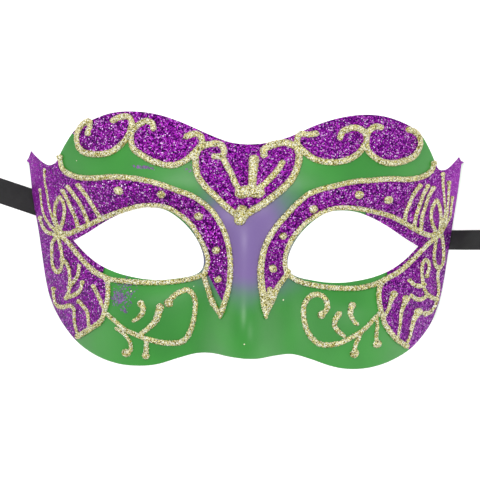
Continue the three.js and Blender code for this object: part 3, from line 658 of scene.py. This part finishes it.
def makeGlitter(name, look):
    # Flakes in clear glue: each cell has its own tone and its own tilt
    material, tree, shader = newMaterial(name)
    point, wearSheenAndShade = objectPoint(tree), look["wearSheenAndShade"]
    cells = addNode(tree, "ShaderNodeTexVoronoi", {"Vector": point, "Scale": 1000 / look["flake"]})
    parts = addNode(tree, "ShaderNodeSeparateColor", {0: cells.outputs["Color"]})
    clumps = addNode(tree, "ShaderNodeTexNoise", {"Vector": point, "Scale": 450.0, "Detail": 2.0})
    shift = calc(tree, "MULTIPLY_ADD", clumps.outputs["Fac"], 0.5, -0.25)
    tone = calc(tree, "MULTIPLY_ADD", parts.outputs[0], look["contrast"], shift)
    colour = colourRamp(tree, tone, look["stops"])
    # painted shade: each flake darkens toward its edge and into the gaps between flakes
    gapShade = fade(tree, cells.outputs["Distance"], 0.35, 0.8)
    colour = blendColours(tree, calc(tree, "MULTIPLY", gapShade, 0.7), colour, shade(look["stops"][0][1]))
    # high on the steep sides the coat is thinner and the flakes lie flatter in it; the lighter colour there
    # is painted sheen, and all steep sides get painted shade
    straight = addNode(tree, "ShaderNodeNewGeometry").outputs["Normal"]
    upward = addNode(tree, "ShaderNodeSeparateXYZ", {0: straight}).outputs[2]
    height = addNode(tree, "ShaderNodeSeparateXYZ", {0: point}).outputs[1]
    high = fade(tree, height, *glitterCoat["thinAndSheenHeight"])
    thinCoatAndSheen = calc(tree, "MULTIPLY", fade(tree, upward, *glitterCoat["thinAndSheenSlope"]), high)
    # painted shade: the steep sides are darkened towards a deep tone
    shadeAmount = calc(tree, "MULTIPLY", fade(tree, upward, *glitterCoat["shadeSlope"]), wearSheenAndShade["shadeAmount"])
    colour = blendColours(tree, shadeAmount, colour, shade(wearSheenAndShade["paintedShade"]))
    # painted sheen: a lighter colour high on the steep sides
    colour = blendColours(tree, calc(tree, "MULTIPLY", thinCoatAndSheen, 0.5), colour, shade(wearSheenAndShade["colour"]))
    tip = calc(tree, "MULTIPLY_ADD", thinCoatAndSheen, -0.6 * look["tilt"], look["tilt"])
    tips = addNode(tree, "ShaderNodeCombineXYZ", {0: tip, 1: tip, 2: tip}).outputs[0]
    lean = addNode(tree, "ShaderNodeVectorMath", {
        0: cells.outputs["Color"], 1: (0.5, 0.5, 0.5)}, operation="SUBTRACT").outputs[0]
    leaning = addNode(tree, "ShaderNodeVectorMath", {
        0: lean, 1: tips, 2: straight}, operation="MULTIPLY_ADD").outputs[0]
    facing = addNode(tree, "ShaderNodeVectorMath", {0: leaning}, operation="NORMALIZE").outputs[0]
    bump = addNode(tree, "ShaderNodeBump", {
        "Height": cells.outputs["Distance"], "Strength": 0.5, "Distance": 0.0002, "Normal": facing},
        invert=True)
    fillSockets(tree, shader, {
        "Base Color": colour, "Normal": bump.outputs[0], "Metallic": look["metal"], "Roughness": 0.34,
        "Specular IOR Level": 0.05})
    return material


purpleGlitter = makeGlitter("purpleGlitter", fields)


def addField(look, name):
    outline = np.array([place(point) for point in look[name]])
    low = np.maximum(outline.min(axis=0) - 1, outlines["around"][:2])
    high = np.minimum(outline.max(axis=0) + 1, outlines["around"][2:])
    piece = makeSheet(name + "_flakes", (*low, *high), look["cell"], look["lift"], look["thickness"])
    keepInside(piece, planCutter)
    cutter = makeCutter("fieldCutter", [outline])
    keepInside(piece, cutter)
    dropObject(cutter)
    cutAtSurface(piece)
    giveMaterials(piece, purpleGlitter)
    shadeSmooth(piece, 40)
    register(piece, name)
    print(name, "made of", len(piece.data.polygons), "faces")


for name in ("glitter_band_top", "glitter_field_left", "glitter_field_right"):
    addField(fields, name)

# Raised gold lines and drops: rounded beads of glitter glue, drawn as smooth lines on the face.
# Routes are in squares of the drawing, and the other values in millimetres: wide is one width or several
# along the line, bead the width of a drop at its end, and point the length over which its end thins.

goldLines = {
    "gold_top_trim": [
        {"wide": 2, "route": [(-159, 104), (-157, 112), (-158.5, 116), (-164, 113), (-169, 106), (-170, 98),
            (-167.5, 89.5), (-161, 84.5), (-150, 83), (-137, 85), (-127, 92), (-120, 100), (-116, 110),
            (-116, 117), (-120, 121), (-127, 120.5), (-134, 117)]},
        {"wide": 2, "route": [(-94, 110), (-95, 114.5), (-101, 117), (-109, 113), (-115, 106), (-116, 98),
            (-113, 89), (-104, 82), (-92, 76), (-80, 73), (-70, 74), (-60, 79), (-52, 87), (-46, 94.5),
            (-46, 101), (-50, 104.5), (-55, 104.5), (-61, 102)]},
        {"wide": 2.1, "route": [(-25, 82), (-23.5, 88), (-25.5, 93.5), (-31, 95.5), (-38, 94.5), (-45, 92.5),
            (-50, 87), (-51.5, 78), (-51, 70), (-48, 61), (-41, 52), (-30, 42), (-18, 31), (-6, 22)]},
        {"wide": 2.3, "route": [(-6, 22), (4, 28), (19, 38), (36, 52), (45, 62), (50, 74), (51.5, 85),
            (49, 92.5), (43, 96), (36, 97.5), (28, 96), (21, 93.5), (16.5, 90), (16.5, 85)]},
        {"wide": (3.6, 5.2, 3.6), "route": [(-6.2, 19.5), (-5.6, 23.5), (-4.5, 29)]},
        {"wide": 2, "route": [(-33, 82.5), (-25.4, 82), (-21, 74.5), (-16, 66), (-12, 57), (-7, 49)]},
        {"wide": (3.3, 2.4), "route": [(6.7, 80), (6, 70), (5.5, 60), (5, 50)]},
        {"wide": 2, "route": [(35, 77.5), (31, 70.5), (25, 63.5), (18, 56.5), (10, 50)]},
        {"wide": 3.9, "route": [(-6, 47), (3, 48.5), (12, 48)]},
        {"wide": 2, "route": [(68, 107), (60, 106), (54, 106.5), (50, 103.5), (50, 96), (56, 89.5), (66, 82),
            (78, 79), (90, 79), (101, 82), (110, 88), (117, 98), (118, 106), (114, 111), (107, 113.5),
            (100, 112.5), (94, 109), (92, 103.5)]},
        {"wide": 2, "route": [(132, 114.5), (128, 115.5), (123, 113), (119, 108), (118, 100), (120, 91),
            (126, 85), (134, 80.5), (144, 79), (156, 81.5), (165, 86), (170, 92.5), (172, 100), (170.5, 106),
            (166, 111), (160, 113)]},
    ],
    "gold_frame_left": [
        {"wide": (1.9, 1.9, 1.9, 1.9, 2.4), "point": 2.6, "route": [(-187, 80), (-186, 74), (-183.5, 68),
            (-177, 63), (-165, 59.5), (-150, 59.5), (-135, 60.7), (-118, 60), (-103, 58), (-86, 54),
            (-70, 48.5), (-55, 43.5), (-43, 36), (-33, 27), (-25, 15), (-19, 1.5), (-15.5, -14),
            (-14.5, -32), (-16, -50), (-20, -65), (-24, -78)]},
        {"wide": (1.2, 2.2, 2, 1.8), "route": [(-23.8, -75.5), (-28, -68.5), (-33, -60), (-36, -50.5),
            (-39, -43), (-41, -36)]},
        {"wide": 1.8, "route": [(-188, 4), (-176, 4), (-166, 8.5), (-151, 16), (-136, 23), (-121, 28.8),
            (-106, 33), (-92, 34), (-79, 32), (-66, 25), (-54, 14), (-45, 0), (-39, -13), (-37, -23),
            (-40.5, -35)]},
        {"wide": 1.8, "route": [(-39, -34), (-50, -38.8), (-63, -41.8), (-80, -44), (-100, -44.6),
            (-120, -43.5), (-134, -42), (-138.5, -40)]},
        {"wide": 1.9, "route": [(-187, 3), (-178, -4), (-166, -18.5), (-152, -33), (-139, -41), (-136.5, -50),
            (-136.5, -60), (-139, -72), (-143, -83), (-155, -92), (-166, -99)]},
        {"wide": (1.1, 1.1, 1.2, 1.6), "route": [(-202, 67), (-201.5, 56), (-199, 44.5), (-197, 33),
            (-194, 22), (-187.4, 6.6)]},
        {"wide": (1.1, 1.1, 1.2, 1.6), "route": [(-206, 47), (-204.5, 34), (-202, 23), (-197, 14),
            (-188.6, 5.2)]},
        {"wide": 1.6, "route": [(-205.5, 19), (-203, 11), (-198, 5), (-187.8, 2.2)]},
        {"wide": 1.6, "route": [(-185.2, 5.6), (-190, 18), (-190.5, 30), (-186, 40), (-181.5, 31), (-182, 18),
            (-186.6, 4.2)]},
        {"wide": 1.7, "route": [(-183, 46), (-178.5, 38), (-174.5, 29), (-170.5, 21), (-167, 9)]},
        {"wide": 1.7, "route": [(-178, 50), (-172, 42.5), (-165.5, 33.5), (-160.5, 23.5), (-157, 14)]},
        {"wide": 1.7, "route": [(-168, 52), (-163, 46.5), (-156.5, 37.5), (-150.5, 28), (-145, 20)]},
        {"wide": 1.6, "route": [(-186.2, 3.6), (-192.5, -5), (-193, -15), (-192.5, -26), (-190, -33),
            (-186.5, -35), (-183.5, -31), (-182.5, -22), (-184, -12), (-187.4, 1.2)]},
        {"wide": 1.6, "route": [(-183, -22), (-178.5, -25.5), (-175.5, -33), (-174.5, -43), (-175, -53),
            (-178, -61)]},
        {"wide": 1.6, "route": [(-165.5, -29), (-166.5, -37.5), (-170, -44), (-175, -50)]},
        {"wide": 1.6, "route": [(-162, -45), (-163.5, -52), (-168.5, -57), (-177, -60)]},
        {"wide": 1.6, "route": [(-191, -52), (-190, -62), (-187, -68.5), (-181, -70), (-175, -68.5),
            (-170, -71.5), (-169.5, -78), (-168.5, -88), (-165, -98)]},
        {"wide": 1.6, "route": [(-165, -64), (-160, -69.5), (-156, -76), (-154.5, -91)]},
        {"wide": 1.6, "route": [(-151, -49), (-147, -55.5), (-143, -64), (-139.5, -72)]},
    ],
    "gold_frame_right": [
        {"wide": (1.9, 1.9, 1.9, 2.2, 3.4), "point": 4.2, "route": [(186, 80), (184.5, 74), (180, 69),
            (171, 65), (158, 63), (143, 63.4), (125, 61.5), (107, 59.8), (90, 56), (75, 52), (62, 47),
            (50, 37), (38.5, 24.5), (29, 13), (20.5, -1.5), (16.5, -14), (14.5, -30), (15.5, -46),
            (18, -60), (20.3, -76.5)]},
        {"wide": (1.3, 2.6, 2.1, 1.8), "route": [(21, -73), (24.3, -64), (28, -54), (32, -46), (37.5, -38.5),
            (42.2, -31)]},
        {"wide": 1.8, "route": [(20.8, -70), (21.3, -62), (22, -55), (23.5, -49)]},
        {"wide": 1.8, "route": [(22.4, -67), (25, -58.5), (27.5, -51)]},
        {"wide": 1.8, "route": [(193, 10), (184, 8), (174, 11), (158, 19.5), (143.5, 26.8), (124, 31.6),
            (110, 34), (97, 34.8), (85, 33.2), (73, 28.3), (61, 20.5), (51.5, 10.2), (44.5, 0), (40.3, -10),
            (38.5, -20), (39.3, -29), (42.6, -33.6)]},
        {"wide": 1.8, "route": [(40.6, -32.2), (47.5, -37.8), (56, -41.5), (66, -44), (80, -46), (96, -47),
            (112, -46.5), (124, -44), (132.5, -41), (138, -38)]},
        {"wide": 1.9, "route": [(191.2, 7.4), (182, 0), (169, -14), (154, -28.5), (138, -38.5), (133.5, -47),
            (133, -56), (135, -67), (140, -82), (150, -95), (161.5, -103)]},
        {"wide": 1.7, "route": [(172, 57), (166, 48.8), (162, 39.5), (158.5, 29.5), (157.5, 19.5)]},
        {"wide": 1.7, "route": [(180, 57), (175, 47), (171.5, 36), (168.5, 27), (167, 14.5)]},
        {"wide": 1.7, "route": [(185.5, 55), (180.5, 46), (177.5, 36), (174.5, 25), (174, 11)]},
        {"wide": 1.6, "route": [(190.4, 9), (185, 20), (184, 32), (189, 43), (193, 33), (193.5, 20),
            (191.6, 8.4)]},
        {"wide": (1.6, 1.2, 1.2, 1.6), "route": [(195, 69), (195.5, 57), (197, 43), (197.5, 28),
            (192, 11.5)]},
        {"wide": (1.5, 1.2, 1.2, 1.6), "route": [(201.5, 61), (201, 51), (200.5, 38), (199, 24), (194, 8.6)]},
        {"wide": (1.3, 1.2, 1.2, 1.6), "route": [(205, 46), (204, 37), (202.5, 26), (192.6, 7.8)]},
        {"wide": 1.6, "route": [(193.6, 12.4), (196, 3), (197, -7), (196.5, -19), (193, -25), (189, -21.5),
            (187.5, -13.5), (188.5, -3), (190.8, 10.4)]},
        {"wide": 1.6, "route": [(180.5, -33), (182.5, -25.5), (182, -19), (179, -17), (176, -21),
            (175.5, -29), (176.5, -39), (179, -47.5), (183.5, -53), (191, -56)]},
        {"wide": 1.6, "route": [(163.5, -38), (168, -42), (173.5, -43), (178, -41)]},
        {"wide": 1.6, "route": [(165.5, -53), (170, -56), (176, -56), (182, -52)]},
        {"wide": 1.6, "bead": 2.4, "route": [(193, -24), (191.5, -32), (192.5, -42), (192.5, -50), (191, -57),
            (188.5, -64), (184.5, -69), (180, -70.5)]},
        {"wide": (2.4, 1.7, 1.4), "route": [(148, -51.5), (145, -57.5), (142.5, -66), (138.5, -74)]},
        {"wide": (2.6, 1.8, 1.4, 1.4), "route": [(160, -56), (157, -63.5), (155, -71.5), (154.5, -82),
            (152, -96)]},
        {"wide": (2.9, 2.2, 1.5, 1.4), "route": [(172.5, -69), (168.5, -75.5), (166.5, -83), (165, -92),
            (161, -102.5)]},
    ],
    "gold_cheek_left": [
        {"wide": (1.9, 2.1, 2.3, 2.2, 2.2), "bead": 3.6, "route": [(-138, -76), (-131, -81.5), (-124, -87.5),
            (-117, -92.5), (-110, -95.5), (-102, -98.5), (-94, -101), (-85, -103), (-76, -104), (-67, -103.5),
            (-60, -101), (-55, -94), (-51.5, -84), (-49.5, -72), (-49.5, -62), (-52, -55), (-57, -51),
            (-62, -51.5), (-68, -55), (-73, -59), (-76, -64)]},
        {"wide": (1.5, 1.9), "bead": 3.5, "route": [(-127.8, -90.5), (-121, -95), (-115.5, -101),
            (-113, -107.5), (-113.5, -112), (-117.5, -114.5)]},
        {"wide": (2, 2.4), "bead": 3.1, "route": [(-97.6, -101), (-97.6, -109), (-97.9, -117)]},
        {"wide": (1.8, 2.1, 2.7, 3.2), "route": [(-103, -95), (-94.1, -87.8), (-88.6, -81.5),
            (-86.2, -74.5), (-84.6, -68.5)]},
    ],
    "gold_cheek_right": [
        {"wide": (1.9, 2.1, 2.3, 2.2, 2.2), "bead": 3.3, "route": [(134.7, -70.8), (127.3, -78.4),
            (121.2, -85.4), (113.8, -91.1), (105.1, -96.3), (97.7, -100.2), (89, -102.6), (81.5, -103.2),
            (73.9, -101.8), (67.6, -96.9), (62.5, -89.5), (59.6, -80.8), (58.5, -73.3), (58.6, -65.8),
            (61.3, -58.9), (66.3, -54.4), (73.1, -53.1), (78.8, -56.1), (82, -61.7), (81.5, -67.9),
            (76.5, -73.2)]},
        {"wide": (1.7, 2), "bead": 3.6, "route": [(116.5, -90), (112.1, -99.9), (110.3, -106.2),
            (110, -111.4)]},
        {"wide": (1.7, 2), "bead": 3.3, "route": [(131.5, -75), (132.4, -83.3), (131.5, -92.1),
            (132.6, -101.6)]},
        {"wide": (2.5, 2.2, 2, 1.7), "route": [(94.1, -72.3), (90.4, -77.8), (89.9, -84), (93.7, -89.6),
            (99.2, -94)]},
    ],
    "gold_comma_left": [
        {"wide": (2.7, 2.3, 1.8, 1.5), "route": [(-103.9, -65), (-101.3, -69.8), (-102.4, -74.8),
            (-106.7, -79.9), (-110.6, -82.2)]},
    ],
    "gold_comma_right": [
        {"wide": (2.8, 2.4, 1.8, 1.6), "route": [(107, -63.3), (105.3, -69.4), (106.6, -75.6),
            (109.8, -80), (112.2, -82.2)]},
    ],
}

goldDots = {   # place and width
    "gold_dot_left_1": (-127.3, 47.5, 3.5), "gold_dot_left_2": (-85, 44.4, 3.3),
    "gold_dot_left_3": (-47.4, 23.2, 3.5), "gold_dot_left_4": (-28.8, -11, 3.2),
    "gold_dot_left_5": (-26.4, -40.4, 2.9), "gold_dot_right_1": (140.8, 42.8, 3.4),
    "gold_dot_right_2": (111.7, 47.4, 3.5), "gold_dot_right_3": (66.5, 32.6, 3.5),
    "gold_dot_right_4": (36.4, 4.6, 3.1), "gold_dot_right_5": (26.5, -28.6, 3.3),
}

gold = {
    "voxel": 0.24, "rough": 0.33, "roughScale": 0.56, "sink": 0.3, "flat": 0.82, "step": 0.45,
    "widen": {"gold_top_trim": 1.28, "gold_frame_left": 1.16, "gold_frame_right": 1.16},
    "coat": 0.4,      # how much higher a line lies where it is drawn on glitter
    "tipWidth": 0.33,
    "flake": 0.41, "tilt": 0.9, "metal": 0.3, "contrast": 1.2,
    # painted sheen high on the steep sides of the gold; no painted shade
    "wearSheenAndShade": {"colour": "cdb890", "paintedShade": "9a9240", "shadeAmount": 0.0},
    "stops": [(0.0, "5e561e"), (0.18, "a0963e"), (0.38, "e2d884"), (0.66, "fbf5bc"), (1.0, "fffff0")],
}

goldGlitter = makeGlitter("goldGlitter", gold)
lumps = bpy.data.textures.new("goldLumps", "CLOUDS")
lumps.noise_scale = gold["roughScale"] * mm
lumps.noise_depth = 1


def halfWidths(wide, count):
    widths = wide if isinstance(wide, tuple) else (wide, wide)
    return np.interp(np.linspace(0, 1, count), np.linspace(0, 1, len(widths)), widths) / 2


def addSpline(curve, points, halves):
    spline = curve.splines.new("POLY")
    spline.points.add(len(points) - 1)
    for point, spot, half in zip(spline.points, points, halves):
        point.co = (*(spot * mm), 1)
        point.radius = half


def addBall(curve, x, y, lift, half):
    # A drop, as a very short line whose width swells and shrinks
    along = np.sin(np.linspace(-math.pi / 2, math.pi / 2, 9)) * half
    flat = np.full(9, float(y))
    addSpline(curve, lifted(x + along, flat, lift), np.sqrt(np.maximum(half * half - along ** 2, 0.0025)))


def finishGold(look, curve, node, lift):
    piece = bpy.data.objects.new(node + "_glitter", curve)
    bpy.context.collection.objects.link(piece)
    pick(piece)
    bpy.ops.object.convert(target="MESH")
    piece = bpy.context.object
    applyModifier(piece, "REMESH", mode="VOXEL", voxel_size=look["voxel"] * mm, adaptivity=0.0)
    points = pointsOf(piece)
    normal = faceNormal(points[:, 0], points[:, 1])
    over = (points[:, 2] - faceAt(points[:, 0], points[:, 1])) * normal[:, 2]
    wanted = np.maximum(lift + (over - lift) * look["flat"], -look["sink"])
    movePoints(piece, points + normal * (wanted - over)[:, None])
    applyModifier(piece, "SMOOTH", factor=0.5, iterations=2)
    applyModifier(piece, "DISPLACE", texture=lumps, texture_coords="LOCAL", strength=look["rough"] * 2 * mm,
                  mid_level=0.42)
    keepAbove(piece, 0.02)
    giveMaterials(piece, goldGlitter)
    shadeSmooth(piece, 60)
    register(piece, node)


def newLineCurve(name):
    curve = bpy.data.curves.new(name, "CURVE")
    curve.dimensions = "3D"
    curve.bevel_depth = mm
    curve.bevel_resolution = 3
    curve.use_fill_caps = True
    return curve


def drawLines(look, node):
    lift = look["coat"] if node in look["widen"] else 0.0
    widen = look["widen"].get(node, 1.0)
    curve = newLineCurve(node)
    for row in goldLines[node]:
        run = evenly(smoothRun([place(point) for point in row["route"]], 10), look["step"])
        halves = halfWidths(row["wide"], len(run)) * widen
        if "point" in row:
            left = np.arange(len(run))[::-1] * look["step"] / row["point"]
            halves = halves * (look["tipWidth"] + (1 - look["tipWidth"]) * np.clip(left, 0, 1))
        addSpline(curve, lifted(run[:, 0], run[:, 1], lift), halves)
        for end, half in ((run[0], halves[0]), (run[-1], max(halves[-1], row.get("bead", 0) / 2))):
            addBall(curve, end[0], end[1], lift, half)
    finishGold(look, curve, node, lift)


for node in goldLines:
    drawLines(gold, node)
for node, (across, up, wide) in goldDots.items():
    x, y = place((across, up))
    curve = newLineCurve(node)
    addBall(curve, x, y, gold["coat"], wide / 2)
    finishGold(gold, curve, node, gold["coat"])
print("gold lines drawn")
dropObject(planCutter)

# Floor, light and air

studio = {
    "sky": 0.68, "glow": 0.34, "floor": "f4f4f4", "floorLight": "f8f8f8", "white": (1, 1, 1, 1),
    "aim": (0, 0, 0.03),
    "lamps": [   # name, place and size in metres, and power
        ("keyLamp", (-0.25, 0.45, 1.3), 0.7, 9.0), ("sideLamp", (0.9, -0.3, 0.9), 0.6, 3.0),
    ],
}


def addFloor(look):
    clearSelection()
    bpy.ops.mesh.primitive_plane_add(size=6)
    floor = bpy.context.object
    floor.name = "paleFloor"
    material, tree, shader = newMaterial("paleFloor")
    point = objectPoint(tree)
    mottle = addNode(tree, "ShaderNodeTexNoise", {"Vector": point, "Scale": 8.0, "Detail": 2.0})
    colour = blendColours(tree, mottle.outputs["Fac"], shade(look["floor"]), shade(look["floorLight"]))
    fillSockets(tree, shader, {
        "Base Color": colour, "Roughness": 0.9, "Emission Color": look["white"],
        "Emission Strength": look["glow"]})
    floor.data.materials.append(material)


def addSky(look):
    world = bpy.data.worlds.new("softSky")
    world.use_nodes = True
    sky = world.node_tree
    fillSockets(sky, sky.nodes["Background"], {"Color": look["white"], "Strength": look["sky"]})
    bpy.context.scene.world = world


def addLamps(look):
    for name, spot, size, power in look["lamps"]:
        bpy.ops.object.light_add(type="AREA", location=spot)
        lamp = bpy.context.object
        lamp.name = name
        lamp.data.size = size
        lamp.data.energy = power
        lamp.rotation_euler = (Vector(look["aim"]) - Vector(spot)).to_track_quat("-Z", "Y").to_euler()


addFloor(studio)
addSky(studio)
addLamps(studio)
bpy.context.scene.view_settings.view_transform = "Standard"
print("studio set")
